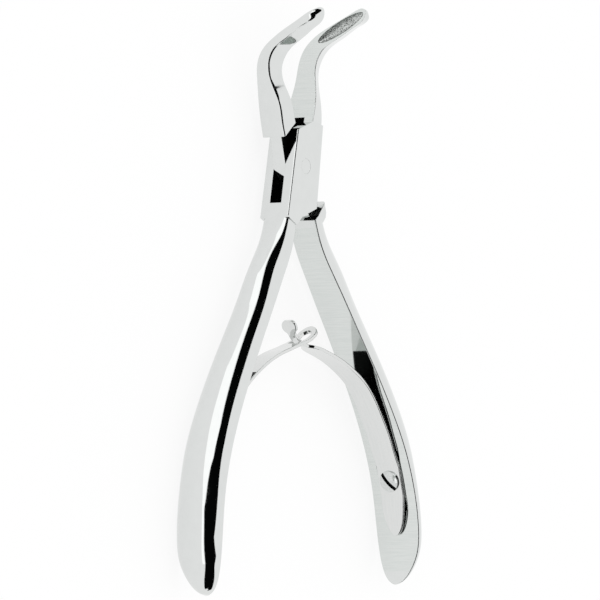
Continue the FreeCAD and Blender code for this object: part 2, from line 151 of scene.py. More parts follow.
# painted shade: rough, unpolished steel whose near-black colour stands in for the shade and dark reflections
# in the slot broached through the box;
# the same painted shade is on the flare, the pin's bore, the screw's slot, the neck's sliding faces and the
# leaves' sides toward the handles
paintedShadeSteel = steelMaterial("paintedShadeSteel", {
    "tones": ("#0c0d0d", "#1b1d1c"), "toneStops": (0.3, 0.7), "roughness": (0.35, 0.5),
    "driftSize": 2.0, "waveHeight": 0.02, "grainSize": 0.5, "grainDetail": 3.0, "grainHeight": 0.004,
    "stretch": (1, 1, 1), "edgeBreak": 0.1,
})
# cold-rolled spring strip, polished along its length after bending: bright, with long soft lines
rolledSpringStainless = steelMaterial("rolledSpringStainless", {
    "tones": ("#dadcdb", "#dedfde"), "toneStops": (0.3, 0.7), "roughness": (0.04, 0.07),
    "driftSize": 6.0, "waveHeight": 0.006, "grainSize": 0.4, "grainDetail": 2.0, "grainHeight": 0.0001,
    "stretch": (0.06, 0.06, 1), "edgeBreak": 0.12,
})
# free-cutting stainless bar, the head turned and polished: small, bright and slightly ringed
turnedScrewStainless = steelMaterial("turnedScrewStainless", {
    "tones": ("#c9cccb", "#dcdedd"), "toneStops": (0.3, 0.7), "roughness": (0.07, 0.13),
    "driftSize": 2.0, "waveHeight": 0.006, "grainSize": 0.35, "grainDetail": 1.0, "grainHeight": 0.0008,
    "stretch": (1, 1, 1), "edgeBreak": 0.08,
})
print("materials made")


# meshes

def spline(knots, values, at):
    # natural cubic spline through rows of values
    gaps = np.diff(knots)
    count = len(knots)
    system = np.zeros((count, count))
    right = np.zeros(values.shape)
    system[0, 0] = system[-1, -1] = 1.0
    for row in range(1, count - 1):
        system[row, row - 1:row + 2] = gaps[row - 1], 2 * (gaps[row - 1] + gaps[row]), gaps[row]
        rise = (values[row + 1] - values[row]) / gaps[row]
        right[row] = 6 * (rise - (values[row] - values[row - 1]) / gaps[row - 1])
    bend = np.linalg.solve(system, right)
    spot = np.clip(np.searchsorted(knots, at, side="right") - 1, 0, count - 2)
    gap = gaps[spot][:, None]
    left = (knots[spot + 1] - at)[:, None]
    gone = (at - knots[spot])[:, None]
    curved = (bend[spot] * left ** 3 + bend[spot + 1] * gone ** 3) / (6 * gap)
    near = (values[spot] / gap - bend[spot] * gap / 6) * left
    return curved + near + (values[spot + 1] / gap - bend[spot + 1] * gap / 6) * gone


def travel(points):
    # distance along a line of points
    steps = np.linalg.norm(np.diff(points, axis=0), axis=1)
    return np.concatenate([[0.0], np.cumsum(steps)])


def newPiece(name, points, faces, material):
    mesh = bpy.data.meshes.new(name)
    mesh.from_pydata([Vector(point) * mm for point in points], [], faces)
    mesh.materials.append(material)
    shape = bmesh.new()
    shape.from_mesh(mesh)
    bmesh.ops.recalc_face_normals(shape, faces=shape.faces)
    shape.to_mesh(mesh)
    shape.free()
    piece = bpy.data.objects.new(name, mesh)
    bpy.context.scene.collection.objects.link(piece)
    return piece


def skin(name, rings, material):
    # closed skin over rings of equal length
    rings = np.asarray(rings)
    count, size = rings.shape[:2]
    faces = [tuple(range(size)), tuple(range((count - 1) * size, count * size))]
    for low in range(0, (count - 1) * size, size):
        high = low + size
        for place in range(size):
            after = (place + 1) % size
            faces.append((low + place, low + after, high + after, high + place))
    return newPiece(name, rings.reshape(-1, 3).tolist(), faces, material)


def prism(name, outline, low, high, material):
    return skin(name, [[(x, y, height) for x, y in outline] for height in (low, high)], material)


def mirrored(piece):
    piece.data.transform(Matrix.Scale(-1, 4, Vector((0, 1, 0))))
    piece.data.flip_normals()
    return piece


def bakeModifiers(piece):
    evaluated = piece.evaluated_get(bpy.context.evaluated_depsgraph_get())
    mesh = bpy.data.meshes.new_from_object(evaluated)
    piece.modifiers.clear()
    piece.data = mesh


def combine(piece, tool, operation):
    # joins or cuts, and the tool is used up; a cut face takes the tool's material
    change = piece.modifiers.new(operation, "BOOLEAN")
    change.operation = operation
    change.object = tool
    change.solver = "EXACT"
    change.material_mode = "TRANSFER"
    bakeModifiers(piece)
    bpy.data.objects.remove(tool)
    return piece


def roundLines(piece, isRounded, radius, steps):
    # rounds the straight edges that a test picks
    shape = bmesh.new()
    shape.from_mesh(piece.data)
    edges = [edge for edge in shape.edges if isRounded(edge)]
    bmesh.ops.bevel(shape, geom=edges, offset=radius * mm, segments=steps, profile=0.5, affect="EDGES")
    shape.to_mesh(piece.data)
    shape.free()


def slopePoint(start, angle, run):
    return (start[0] + run * math.cos(math.radians(angle)), start[1] + run * math.sin(math.radians(angle)))


def opened(point, angle):
    turn = math.radians(angle)
    x, y = point
    return (x * math.cos(turn) - y * math.sin(turn), x * math.sin(turn) + y * math.cos(turn))


def rod(name, radius, start, axis, length, material, steps=64):
    # a round cutting tool
    axis = Vector(axis).normalized()
    turn = axis.to_track_quat("Z", "Y")
    rings = []
    for height in (0.0, length):
        ring = []
        for step in range(steps):
            angle = 2 * math.pi * step / steps
            spot = Vector((radius * math.cos(angle), radius * math.sin(angle), height))
            ring.append(tuple(Vector(start) + turn @ spot))
        rings.append(ring)
    return skin(name, rings, material)


def shade(piece, angle):
    # smooth surfaces with crisp edges; large faces keep their own flatness
    piece.data.shade_smooth()
    piece.data.set_sharp_from_angle(angle=math.radians(angle))
    even = piece.modifiers.new("evenFaces", "WEIGHTED_NORMAL")
    even.keep_sharp = True
    even.weight = 60
    bakeModifiers(piece)


# handles

handle = {
    # place along the tool, inner face's distance from the meeting plane, thickness, width, and
    # squareness, which is 2 for a half ellipse and more toward a square
    "stations": [
        (-11.0, 0.8, 4.2, 8.6, 5.0), (-15.0, 0.9, 4.3, 8.6, 4.0), (-19.0, 1.1, 5.4, 8.8, 2.8),
        (-24.0, 2.1, 6.8, 9.1, 2.2), (-30.0, 4.2, 7.4, 9.6, 2.1), (-38.0, 7.2, 6.9, 10.3, 2.1),
        (-48.0, 10.9, 7.0, 10.9, 2.1), (-58.0, 14.5, 7.2, 11.7, 2.1), (-69.0, 18.0, 7.2, 12.5, 2.1),
        (-80.0, 20.6, 6.7, 13.3, 2.1), (-91.0, 21.6, 5.5, 13.8, 2.1), (-103.0, 20.7, 5.0, 13.8, 2.1),
    ],
    "endLength": 13.6,
    "endInner": 15.9,
    "endThickness": 3.6,
    "endTurns": (25, 45, 62, 76, 85, 88.5),
    "endCurve": 1.6,         # how late the inner face turns in over the round end
    "endLeast": 0.35,        # the share of the end's thickness left at its very tip
    "ringGap": 0.7,
    "endRings": 36,          # closer rings over the round end
    "outerSteps": 56,
    "edgeRound": 0.4,        # the polished edge of the flat inner face
    "edgeSteps": 5,
}


def handleSection(x, inner, thickness, width, squareness):
    half = width / 2
    edge = min(handle["edgeRound"], half * 0.3, thickness * 0.2)
    first = math.acos((edge / thickness) ** (squareness / 2))
    outline = []
    for step in range(handle["outerSteps"] + 1):
        turn = first * (1 - 2 * step / handle["outerSteps"])
        across = half * abs(math.sin(turn)) ** (2 / squareness) * math.copysign(1, math.sin(turn))
        outline.append((thickness * math.cos(turn) ** (2 / squareness), across))
    widest = outline[0][1]
    corner = []
    for step in range(1, handle["edgeSteps"] + 1):
        turn = math.radians(90 * step / handle["edgeSteps"])
        corner.append((edge - edge * math.sin(turn), widest - edge + edge * math.cos(turn)))
    outline += [(depth, -across) for depth, across in corner]
    outline += corner[::-1]
    return [(x, -inner - depth, middle + across) for depth, across in outline]


def handlePiece(name):
    stations = [list(station) for station in handle["stations"]]
    lastX, lastInner, lastThickness, lastWidth, squareness = stations[-1]
    for turn in np.radians(handle["endTurns"]):
        along, left = math.sin(turn), math.cos(turn)
        inner = lastInner + (handle["endInner"] - lastInner) * along ** handle["endCurve"]
        thin = handle["endThickness"] + (lastThickness - handle["endThickness"]) * left
        thickness = thin * (handle["endLeast"] + (1 - handle["endLeast"]) * left ** 0.5)
        place = lastX - handle["endLength"] * along
        stations.append([place, inner, thickness, lastWidth * left, squareness])
    stations = np.array(stations)
    knots = travel(np.column_stack([stations[:, 0], stations[:, 1], stations[:, 3] / 2]))
    endStart = knots[len(handle["stations"])]
    body = np.arange(0, endStart, handle["ringGap"])
    end = np.linspace(endStart, knots[-1], handle["endRings"])
    rings = [handleSection(*row) for row in spline(knots, stations, np.concatenate([body, end]))]
    return skin(name, rings, mirrorBuffedStainless)


# jaws

jaw = {
    # back edge x, z; front edge x, z; set-back of the inner face; outer face; front facet's lean;
    # heights are from the middle of the box
    "stations": [
        (19.4, -3.7, 18.4, 4.4, 1.4, 5.35, 1.1), (24.2, -3.2, 23.2, 3.4, 1.8, 5.35, 1.5),
        (28.6, -2.4, 26.8, 3.35, 1.3, 5.3, 1.8), (32.3, -0.2, 29.6, 4.60, 0.5, 5.2, 2.1),
        (35.1, 3.4, 31.7, 6.70, -0.1, 5.0, 2.1), (37.7, 8.1, 34.0, 10.8, -0.3, 4.7, 2.0),
        (40.0, 12.8, 36.3, 14.7, -0.3, 4.3, 1.9), (41.5, 16.0, 38.1, 17.4, -0.3, 3.6, 1.3),
        (42.0, 17.9, 40.0, 18.7, -0.3, 2.2, 0.5),
    ],
    "rootPlaces": (1.0, 5.0, 9.0, 13.0),
    "rootInner": 0.2,
    "rootLean": (0.27, 0.9),                 # at the pivot and at the last root place
    "rootSwell": 0.15,       # what the front edge gains in height by the last root place
    "rootSkew": 0.4,         # how far the back edge is ahead of it there
    "backLean": 0.15,        # the back facet's lean, as a share of the front one's
    "round": 0.9,
    "leastRound": 0.3,
    "edgeRound": 0.25,
    "roundSteps": 6,
    "ringGap": 0.4,
    "tipLength": 1.5,        # the polished round at the very end
    "tipRings": 14,
    "tipTurn": 86,           # degrees round the tip to its last ring
}
cup = {
    "start": (33.3, 4.1), "finish": (40.4, 17.6), "halfWidth": 1.75, "depth": 1.7,
    "rows": 40, "steps": 48,
}


def jawSection(station, share):
    # share is how far round the tip the section is, from 0 to 1
    backX, backZ, frontX, frontZ, inner, outer, lean = station
    back = np.array([backX, 0.0, middle + backZ])
    rise = np.array([frontX, 0.0, middle + frontZ]) - back
    width = np.linalg.norm(rise)
    rise /= width
    outerRound = min(jaw["round"], jaw["leastRound"] + lean / 2, (outer - inner) / 3, (width - lean) / 3)
    backStart = jaw["backLean"] * lean
    corners = np.array([(0.0, inner), (width, inner), (width - lean, outer), (backStart, outer)])
    rounds = [jaw["edgeRound"], jaw["edgeRound"], outerRound, outerRound]
    outline = []
    for number, corner in enumerate(corners):
        before = corners[number - 1] - corner
        after = corners[(number + 1) % 4] - corner
        before /= np.linalg.norm(before)
        after /= np.linalg.norm(after)
        halfAngle = math.acos(float(np.clip(before @ after, -1, 1))) / 2
        inward = (before + after) / np.linalg.norm(before + after)
        centre = corner + inward * rounds[number] / math.sin(halfAngle)
        start = corner + before * rounds[number] / math.tan(halfAngle) - centre
        finish = corner + after * rounds[number] / math.tan(halfAngle) - centre
        sweep = math.pi - 2 * halfAngle
        for step in range(jaw["roundSteps"] + 1):
            part = step / jaw["roundSteps"]
            spot = (start * math.sin((1 - part) * sweep) + finish * math.sin(part * sweep)) / math.sin(sweep)
            outline.append(centre + spot)
    shrink = math.sqrt(max(0.0, 1 - share ** 2))
    anchor = np.array([width / 2, meetingGap])
    outline = [anchor + (spot - anchor) * shrink for spot in outline]
    return [tuple(back + rise * along + np.array([0.0, deep, 0.0])) for along, deep in outline]


def jawPiece(name, rootHalf, rootOuter):
    stations = []
    firstInner = jaw["stations"][0][4]
    leastLean, mostLean = jaw["rootLean"]
    for place in jaw["rootPlaces"]:
        share = place / jaw["rootPlaces"][-1]
        inner = jaw["rootInner"] + (firstInner - jaw["rootInner"]) * share ** 2 / 2
        lean = leastLean + (mostLean - leastLean) * share
        height = rootHalf + jaw["rootSwell"] * share
        back = place + jaw["rootSkew"] * share
        stations.append((back, -rootHalf, place, height, inner, rootOuter, lean))
    stations = np.array(stations + jaw["stations"])
    knots = travel((stations[:, 0:2] + stations[:, 2:4]) / 2)
    tipStart = knots[-1] - jaw["tipLength"]
    body = np.arange(0, tipStart, jaw["ringGap"])
    rings = [jawSection(row, 0.0) for row in spline(knots, stations, body)]
    shares = np.sin(np.linspace(0, math.radians(jaw["tipTurn"]), jaw["tipRings"]))
    tip = spline(knots, stations, tipStart + jaw["tipLength"] * shares)
    rings += [jawSection(row, share) for row, share in zip(tip, shares)]
    piece = skin(name, rings, mirrorBuffedStainless)
    wrongSide = [(-farAway, -farAway), (farAway, -farAway), (farAway, meetingGap), (-farAway, meetingGap)]
    combine(piece, prism("meetingPlane", wrongSide, -farAway, farAway, crossGroundStainless), "DIFFERENCE")
    return combine(piece, cupTool(), "DIFFERENCE")


def cupTool():
    start = Vector((cup["start"][0], meetingGap, middle + cup["start"][1]))
    finish = Vector((cup["finish"][0], meetingGap, middle + cup["finish"][1]))
    along = finish - start
    steps, rows = cup["steps"], cup["rows"]
    rings = []
    for row in range(1, rows):
        turn = math.pi * row / rows
        ring = []
        for step in range(steps):
            angle = 2 * math.pi * step / steps
            ring.append((cup["halfWidth"] * math.sin(turn) * math.cos(angle),
                         cup["depth"] * math.sin(turn) * math.sin(angle), along.length / 2 * math.cos(turn)))
        rings.append(ring)
    tool = skin("cupTool", rings, burredCupStainless)
    tilt = Matrix.Rotation(math.atan2(along.x, along.z), 4, "Y")
    tool.data.transform(Matrix.Translation((start + finish) / 2 * mm) @ tilt)
    return tool


# box lock

lock = {
    "left": 5.2, "rightTop": 6.1, "rightBottom": 7.3,      # half widths of the box about the pivot
    "cheekThickness": 2.8, "clearance": 0.05, "shoulderGap": 0.55,
    "cheekTop": 8.5, "cheekSlope": 31.0, "cheekFoot": -9.4, "cheekEndInner": 0.9,
    "slotEnd": 10.8, "slotWallSlope": 42.0, "slotJawWallSlope": 64.0,
    "cornerRound": 0.85, "cornerSteps": 8,
    # the neck's left corner, at its back face and at its front face, and the line below it
    "neckBack": (0.9, 5.6), "neckFront": (0.9, 4.85), "neckFootSlope": 25.0, "neckFootRun": 16.6,
    "neckJawRun": 15.2, "neckJawEnd": (4.0, 1.2), "neckJawSide": (0.2, 0.5),
    "neckHandleEnd": (7.0, 0.0), "neckHandleSide": (0.2, 0.3),
    # relief of the front cheek's inner edge: start and finish along the box, skin left, depth
    "flareStart": -0.3, "flareFinish": 5.5, "flareSkin": 0.35, "flareDepth": 1.5,
    "pinRadius": 2.0, "pinRound": 0.03,
    "boxJawRoot": (4.55, 6.1), "crossJawRoot": (4.1, 5.3),  # half height and outer face
    # step past the handle's inner face at a root's end, and run, slant and drop of the shoulder
    # where the box narrows to the handle
    "rootStep": 0.2, "rootShoulder": 2.0, "rootShoulderSlant": 0.8, "rootShoulderDrop": 0.3,
    "handleRootEnd": 2.6, "crossRootHalf": 4.5, "crossRootOuter": 6.3, "crossRootLength": 2.0,
    "crossRootOverlap": 2.0, "crossRootFoot": 1.2,
    "crossRootTaper": (3.0, 2.5),            # how far its end is cut back, and in from its faces
    "jawRootInset": 3.0,     # the box side's jaw starts this far below the cheeks' top
    "shoulderTurn": 4.0,     # the lower shoulder stands open by these degrees
    "shoulderDepth": 50.0,   # of the block that cuts a shoulder
}
slotHalf = middle - lock["cheekThickness"]


def cheekCorners():
    slant = math.cos(math.radians(lock["cheekSlope"]))
    topLeft = (lock["cheekTop"], lock["left"])
    topInner = slopePoint(topLeft, lock["cheekSlope"] - 90, (lock["left"] + lock["cheekEndInner"]) / slant)
    bottomRight = (lock["cheekFoot"], -lock["rightBottom"])
    bottomRun = (lock["rightBottom"] - lock["cheekEndInner"]) / slant
    return topLeft, topInner, bottomRight, slopePoint(bottomRight, lock["cheekSlope"] + 90, bottomRun)


topLeft, topInner, bottomRight, bottomInner = cheekCorners()
rootEnd = bottomInner[0] - lock["handleRootEnd"]
rootInner = handle["stations"][0][1]


def boxBlank():
    shoulder = rootEnd + lock["rootShoulder"]
    outline = [
        topLeft, topInner, (topInner[0], -lock["rightTop"]), bottomRight, bottomInner,
        (rootEnd, rootInner + lock["rootStep"]),
        (shoulder - lock["rootShoulderSlant"], lock["left"] - lock["rootShoulderDrop"]),
        (shoulder, lock["left"]),
    ]
    blank = prism("boxHalfForging", outline, 0, boxThickness, mirrorBuffedStainless)

    def isOutside(edge):
        low, high = [end.co / mm for end in edge.verts]
        onRight = max(low.y, high.y) < 0.1 - lock["rightTop"]
        onLeft = min(low.y, high.y) > lock["left"] - 0.1
        return abs(low.z - high.z) < tiny and (onRight or onLeft)

    roundLines(blank, isOutside, lock["cornerRound"], lock["cornerSteps"])
    return blank


def slotTool():
    end, beyond = lock["slotEnd"], 2 * nearAway
    leftIn = slopePoint((-end, lock["left"]), 180 + lock["slotWallSlope"], nearAway)
    rightIn = slopePoint((end, -lock["rightTop"]), lock["slotJawWallSlope"], nearAway)
    outline = [
        (-end, beyond), (-end, lock["left"]), leftIn, (leftIn[0], -beyond),
        (end, -beyond), (end, -lock["rightTop"]), rightIn, (rightIn[0], beyond),
    ]
    # the slot's cut faces are painted near black, as shade
    return prism("slotTool", outline, middle - slotHalf, middle + slotHalf, paintedShadeSteel)


def flareTool():
    # the relief of the front cheek's inner edge, drawn on the box's left side; its cut faces are painted near
    # black, as shade
    front, beyond = boxThickness - lock["flareSkin"], 2 * lock["cheekTop"]
    outline = [(lock["flareStart"], middle + slotHalf), (lock["flareFinish"], front), (beyond, front),
               (beyond, middle), (lock["flareStart"], middle)]
    sides = (lock["left"] - lock["flareDepth"], 2 * lock["left"])
    return skin("flareTool", [[(x, y, z) for x, z in outline] for y in sides], paintedShadeSteel)


def neckPiece(name):
    # the neck's left corner leans inward toward the front cheek; its faces that slide on the
    # cheeks are painted near black, as shade
    top, left = lock["cheekTop"], lock["left"]
    right = (-lock["neckBack"][0], -lock["neckBack"][1])
    jawEnd, jawSide = lock["neckJawEnd"], lock["neckJawSide"]
    handleEnd, handleSide = lock["neckHandleEnd"], lock["neckHandleSide"]
    half = slotHalf - lock["clearance"]
    rings = []
    for corner, height in ((lock["neckBack"], middle - half), (lock["neckFront"], middle + half)):
        outline = [
            (top + jawEnd[0], left - jawEnd[1]), (top + jawSide[0], left - jawSide[1]),
            corner, slopePoint(corner, 180 + lock["neckFootSlope"], lock["neckFootRun"]),
            (-top - handleEnd[0], -left + handleEnd[1]), (-top - handleSide[0], -left + handleSide[1]),
            right, slopePoint(right, lock["neckFootSlope"], lock["neckJawRun"]),
        ]
        rings.append([(x, y, height) for x, y in outline])
    neck = skin(name, rings, mirrorBuffedStainless)
    neck.data.materials.append(paintedShadeSteel)
    # faces that look along the pivot take the painted shade
    for face in neck.data.polygons:
        if abs(face.normal.z) > faceOn:
            face.material_index = 1
    return neck


def shoulderTool(corner, facing):
    # everything on the box's side of a shoulder that runs beside a cheek's end
    out = slopePoint(corner, facing, lock["shoulderGap"])
    one = slopePoint(out, facing + 90, farAway)
    other = slopePoint(out, facing - 90, farAway)
    back = [slopePoint(end, facing + 180, lock["shoulderDepth"]) for end in (other, one)]
    return prism("shoulderTool", [one, other] + back, -farAway, farAway, mirrorBuffedStainless)


def crossRoot():
    inner, outer = -rootInner, -lock["crossRootOuter"]
    half, overlap, lip = lock["crossRootHalf"], lock["crossRootOverlap"], lock["crossRootFoot"]
    back, inset = lock["crossRootTaper"]
    rings = []
    for height, shift in ((-half, back), (inset - half, 0), (half - inset, 0), (half, back)):
        foot = rootEnd - lock["crossRootLength"] + shift
        outline = [
            (bottomRight[0] + overlap, outer + lip / 2), (bottomInner[0] + overlap, inner),
            (foot + lip, inner - lock["rootStep"]), (foot, outer + lip), (foot + 2 * lip, outer),
            (bottomRight[0], outer),
        ]
        rings.append([(x, y, middle + height) for x, y in outline])
    root = skin("crossRoot", rings, mirrorBuffedStainless)

    def isOutside(edge):
        low, high = [end.co / mm for end in edge.verts]
        atFace = min(abs(low.z - middle), abs(high.z - middle)) > half - tiny
        return atFace and abs(low.z - high.z) < tiny and max(low.y, high.y) < outer + 0.7

    roundLines(root, isOutside, lock["cornerRound"], lock["cornerSteps"])
    return root


# leaf springs

leaf = {
    "thickness": 0.9, "width": 7.2, "tipWidth": 6.0, "footLength": 14.6, "gap": 0.2,
    "footShares": (1.0, 0.72, 0.4), "liftPlaces": (-81.5, -77.5),
    "seatPlace": -89.7, "seatOffset": 21.6, "seatHeight": 4.0,
    "seatHalfLength": 4.0, "seatRunOut": 4.2, "seatMargin": 0.4,
    "closeEnd": 6.0,         # closer rings from this far past the seat, over the foot's round end
    "edgeRound": 0.3, "edgeSteps": 4,
    "bowGap": 0.4, "tailGap": 0.12,          # spacing of the rings along the strip
    # the bow's middle line and each leaf's tail, where they lie when the tool is open
    "bow": [(-67.5, -34.2), (-61.8, -30.7), (-57.2, -26.8), (-53.9, -22.2), (-50.6, -16.0), (-48.4, -10.0)],
    "hookTail": [(-47.0, -5.4), (-45.9, -1.6), (-44.3, 0.9), (-42.2, 2.4), (-39.9, 3.3)],
    "eyeTail": [(-47.3, -5.6), (-46.0, -0.6), (-44.6, 3.6), (-41.8, 7.2)],
    "neckWidth": 2.3, "headWidth": 4.6, "headLength": 3.3, "headTop": 1.5,
    "holeWidth": 3.3, "holeStart": 3.6, "holeMargin": 1.7, "ringWidth": 6.4, "ringEnd": 4.0,
    "leastHalf": 0.25,       # half width at the very ends
    "paintedShadeEnd": -57.2,       # the side toward the handle is painted near black, as shade, up to here
}
screw = {
    "radius": 1.5, "length": 3.4, "holeClearance": 0.1, "headRadius": 2.85, "headHeight": 1.1,
    "domeHeight": 0.6, "slotWidth": 1.0, "slotDepth": 0.7, "slotTurn": 40.0, "rimRound": 0.14,
    "shankBevel": 0.3, "underBevel": 0.1, "leastRadius": 0.02, "steps": 72, "domeSteps": 12,
}
footReach = leaf["footLength"] - leaf["seatHalfLength"]


def seatTool():
    long = leaf["seatHalfLength"] + leaf["seatRunOut"]
    wide = leaf["width"] / 2 + leaf["seatMargin"]
    start, end = leaf["seatPlace"] - long, leaf["seatPlace"] + long
    low = -leaf["seatOffset"]
    high = low + leaf["seatHeight"]
    outline = [(start, low), (end, low), (end, high), (start, high)]
    return prism("seatTool", outline, middle - wide, middle + wide, crossGroundStainless)


def innerFaceAt(x):
    # the handle's inner face's distance from the meeting plane
    stations = handle["stations"]
    places = [station[0] for station in stations][::-1]
    inners = [station[1] for station in stations][::-1]
    if x >= places[0]:
        return float(np.interp(x, places, inners))
    beyond = (places[0] - x) / handle["endLength"]
    return inners[0] + (handle["endInner"] - inners[0]) * beyond ** handle["endCurve"]


def throughPoints(points, gap):
    points = np.array(points)
    knots = travel(points)
    return spline(knots, points, np.linspace(0, knots[-1], max(2, int(knots[-1] / gap))))


def leafLine(tail):
    # the strip's middle line, from the end of its foot to its tip
    seatPlace, half = leaf["seatPlace"], leaf["seatHalfLength"]
    clear = leaf["gap"] + leaf["thickness"] / 2
    footPlaces = [seatPlace - half - footReach * share for share in leaf["footShares"]]
    foot = [(x, -innerFaceAt(x) + clear) for x in footPlaces]
    lift = [(x, -innerFaceAt(x) + clear) for x in leaf["liftPlaces"]]
    rest = -leaf["seatOffset"] + leaf["thickness"] / 2
    seat = [(seatPlace - half, rest), (seatPlace + half, rest)]
    free = lift + [opened(point, -halfOpening) for point in leaf["bow"] + tail]
    tailStart = opened(leaf["bow"][-2], -halfOpening)[0]
    footEnd = seatPlace - half - leaf["closeEnd"]
    line = np.vstack([throughPoints(foot + seat[:1], leaf["bowGap"])[:-1],
                      throughPoints(seat, leaf["bowGap"])[:-1],
                      throughPoints(seat[1:] + free, leaf["tailGap"])])
    kept = []
    for number, point in enumerate(line):
        gap = leaf["bowGap"] if footEnd <= point[0] <= tailStart else leaf["tailGap"]
        if not kept or np.linalg.norm(point - kept[-1]) > gap * 0.9 or number == len(line) - 1:
            kept.append(point)
    return np.array(kept)


def headingOf(start, finish):
    run = np.array(finish) - np.array(start)
    return run / np.linalg.norm(run), float(np.linalg.norm(run))


def leafPiece(name, tail, sides):
    # sides are runs along the tail, from its start, and half widths there
    line = leafLine(tail)
    ahead = np.gradient(line, axis=0)
    ahead /= np.linalg.norm(ahead, axis=1)[:, None]
    bowStart, bowEnd = [opened(leaf["bow"][end], -halfOpening) for end in (0, -1)]
    bowAlong, bowReach = headingOf(bowStart, bowEnd)
    tailAlong = headingOf(opened(tail[0], -halfOpening), opened(tail[-1], -halfOpening))[0]
    footStart = leaf["seatPlace"] - leaf["seatHalfLength"]
    halves = []
    for point in line:
        half = leaf["width"] / 2
        if point[0] < footStart:
            half *= math.sqrt(max(0.0, 1 - ((footStart - point[0]) / footReach) ** 2))
        bowRun = float((point - bowStart) @ bowAlong)
        if point[0] > bowStart[0]:
            half = float(np.interp(bowRun, (0, bowReach), (leaf["width"] / 2, leaf["tipWidth"] / 2)))
        tailRun = float((point - opened(tail[0], -halfOpening)) @ tailAlong)
        if point[0] > bowStart[0] and tailRun > sides[0][0]:
            half = min(half, float(np.interp(tailRun, *zip(*sides))))
        halves.append(half)
    rings = []
    for point, (alongX, alongY), half in zip(line, ahead, halves):
        half = max(half, leaf["leastHalf"])
        edge = min(leaf["edgeRound"], half * 0.8)
        thick = leaf["thickness"] / 2
        ring = []
        for quarter, (signN, signZ) in enumerate(((1, 1), (-1, 1), (-1, -1), (1, -1))):
            for step in range(leaf["edgeSteps"] + 1):
                turn = math.radians(90 * (quarter + step / leaf["edgeSteps"]))
                aside = signN * (thick - edge) + edge * math.cos(turn)
                height = signZ * (half - edge) + edge * math.sin(turn)
                ring.append((point[0] - alongY * aside, point[1] + alongX * aside, middle + height))
        rings.append(ring)
    piece = skin(name, rings, rolledSpringStainless)
    # painted shade: the face of each ring toward the handle, from the foot's start up to the given end, is
    # made near black
    piece.data.materials.append(paintedShadeSteel)
    ringSize, capCount = 4 * (leaf["edgeSteps"] + 1), 2
    for number, face in enumerate(piece.data.polygons[capCount:]):
        towardHandle = number % ringSize == ringSize // 2 - 1
        if towardHandle and footStart < line[number // ringSize][0] < leaf["paintedShadeEnd"]:
            face.material_index = 1
    radius = screw["radius"] + screw["holeClearance"]
    start = (leaf["seatPlace"], -leaf["seatOffset"] - 1, middle)
    hole = rod("leafHole", radius, start, (0, 1, 0), 4, rolledSpringStainless)
    return combine(piece, hole, "DIFFERENCE")


def hookLeaf():
    # past the taper the strip narrows to a neck, which ends in a round-cornered head
    reach = headingOf(leaf["hookTail"][0], leaf["hookTail"][-1])[1]
    slim, neck, head = leaf["tipWidth"] / 2, leaf["neckWidth"] / 2, leaf["headWidth"] / 2
    sides = [(-6.2, slim), (-2.6, slim), (-1.2, slim * 0.93), (0.3, slim * 0.72), (1.4, neck)]
    sides.append((reach - leaf["headLength"], neck))
    for step in range(9):
        turn = math.radians(-70 + 150 * step / 8)
        run = reach - leaf["headTop"] + 1.45 * math.sin(turn)
        sides.append((run, head * (0.45 + 0.55 * math.cos(turn))))
    return leafPiece("hookLeafStrip", leaf["hookTail"], sides)


def eyeLeaf():
    # past the taper the strip swells to a ring with a long hole
    start = opened(leaf["eyeTail"][0], -halfOpening)
    along, reach = headingOf(start, opened(leaf["eyeTail"][-1], -halfOpening))
    slim, ring, hole = leaf["tipWidth"] / 2, leaf["ringWidth"] / 2, leaf["holeWidth"] / 2
    sides = [(-4.6, slim), (2.0, slim * 0.9), (5.0, slim * 0.92), (reach - 5.0, ring)]
    for step in range(1, 16):
        turn = math.radians(90 * step / 16)
        sides.append((reach - leaf["ringEnd"] * (1 - math.sin(turn)), ring * math.cos(turn)))
    sides.append((reach, leaf["leastHalf"]))
    piece = leafPiece("eyeLeafStrip", leaf["eyeTail"], sides)
    across = np.array([-along[1], along[0]])
    first, last = leaf["holeStart"] + hole, reach - leaf["holeMargin"] - hole
    outline = []
    for centre, turned in ((last, -90), (first, 90)):
        for step in range(17):
            turn = math.radians(turned + 180 * step / 16)
            outline.append((centre + hole * math.cos(turn), hole * math.sin(turn)))
    rings = []
    for aside in (-nearAway, nearAway):
        base = np.array(start) + across * aside
        rings.append([(*(base + along * run), middle + height) for run, height in outline])
    return mirrored(combine(piece, skin("eyeHole", rings, rolledSpringStainless), "DIFFERENCE"))


